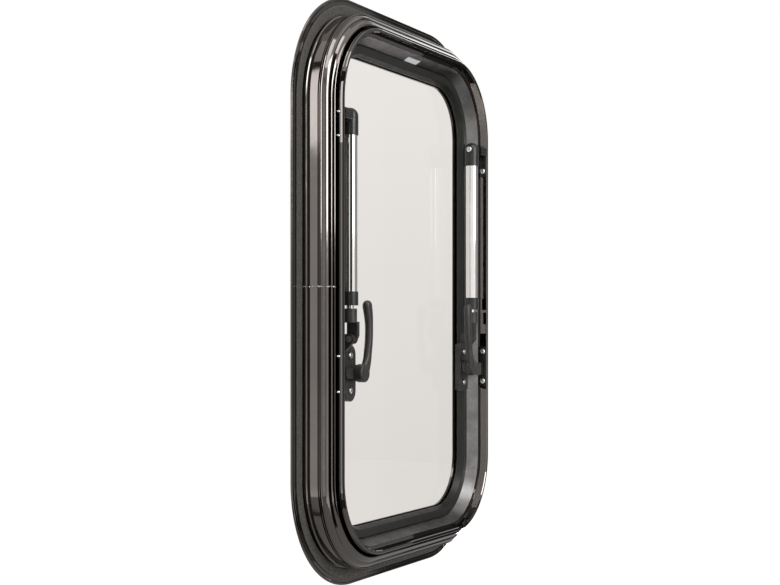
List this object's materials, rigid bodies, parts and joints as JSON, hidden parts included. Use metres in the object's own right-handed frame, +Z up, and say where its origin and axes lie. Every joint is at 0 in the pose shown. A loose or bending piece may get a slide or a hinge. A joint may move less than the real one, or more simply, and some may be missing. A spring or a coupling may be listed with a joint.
{
  "type": "top-hung caravan window",
  "caption": "Top-hung round-cornered window for a caravan or camper wall, with a flanged frame, a glazed sash, telescopic stays and lever latches.",
  "frame": {"origin": "on the wall side of the flange, at the middle of its lower edge and 4 mm up from it", "axes": "+Z up, +X to the right seen from inside the caravan, -Y towards the inside, +Y towards the outside"},
  "size_m": [0.45, 0.0527, 0.65],
  "materials": {
    "bronze_metal": "gloss",
    "foam_seal": "matte",
    "tinted_glass": "gloss",
    "black_rubber": "matte",
    "chrome_tube": "polished",
    "bright_steel": "satin",
    "black_plastic": "matte",
    "charcoal_plastic": "matte"
  },
  "bodies": {
    "root": {"outer_frame": "bronze_metal", "flange_seal": "foam_seal", "inner_ring": "bronze_metal", "sash_frame": "bronze_metal", "glass_pane": "tinted_glass", "glazing_bead": "black_rubber", "sash_gasket": "black_rubber", "hinge_frame_leaf": "bronze_metal", "hinge_sash_leaf": "bronze_metal", "hinge_pin": "bright_steel", "left_stay_bracket": "black_plastic", "left_bracket_screws": "bright_steel", "left_stay_socket": "black_plastic", "left_stay_screw": "bright_steel", "left_stay_tube": "chrome_tube", "left_stay_collar": "black_plastic", "left_stay_rod": "bright_steel", "left_stay_fork": "charcoal_plastic", "left_fork_pin": "bright_steel", "left_latch_strap": "charcoal_plastic", "left_latch_base": "charcoal_plastic", "left_latch_screws": "bright_steel", "left_keeper": "black_plastic", "left_keeper_screws": "bright_steel", "left_sash_stop": "black_plastic", "right_stay_bracket": "black_plastic", "right_bracket_screws": "bright_steel", "right_stay_socket": "black_plastic", "right_stay_screw": "bright_steel", "right_stay_tube": "chrome_tube", "right_stay_collar": "black_plastic", "right_stay_rod": "bright_steel", "right_stay_fork": "charcoal_plastic", "right_fork_pin": "bright_steel", "right_latch_strap": "charcoal_plastic", "right_latch_base": "charcoal_plastic", "right_latch_screws": "bright_steel", "right_keeper": "black_plastic", "right_keeper_screws": "bright_steel", "right_sash_stop": "black_plastic"},
    "left_lever": {"left_latch_lever": "charcoal_plastic", "left_latch_tongue": "charcoal_plastic"},
    "right_lever": {"right_latch_lever": "charcoal_plastic", "right_latch_tongue": "charcoal_plastic"}
  },
  "joints": [
    {"name": "left_lever_turn", "type": "hinge", "parent": "root", "child": "left_lever", "pos_m": [-0.1423, -0.03, 0.2323], "axis": [0, 1, 0], "range_deg": [0, 90]},
    {"name": "right_lever_turn", "type": "hinge", "parent": "root", "child": "right_lever", "pos_m": [0.1423, -0.03, 0.2323], "axis": [0, -1, 0], "range_deg": [0, 90]}
  ]
}
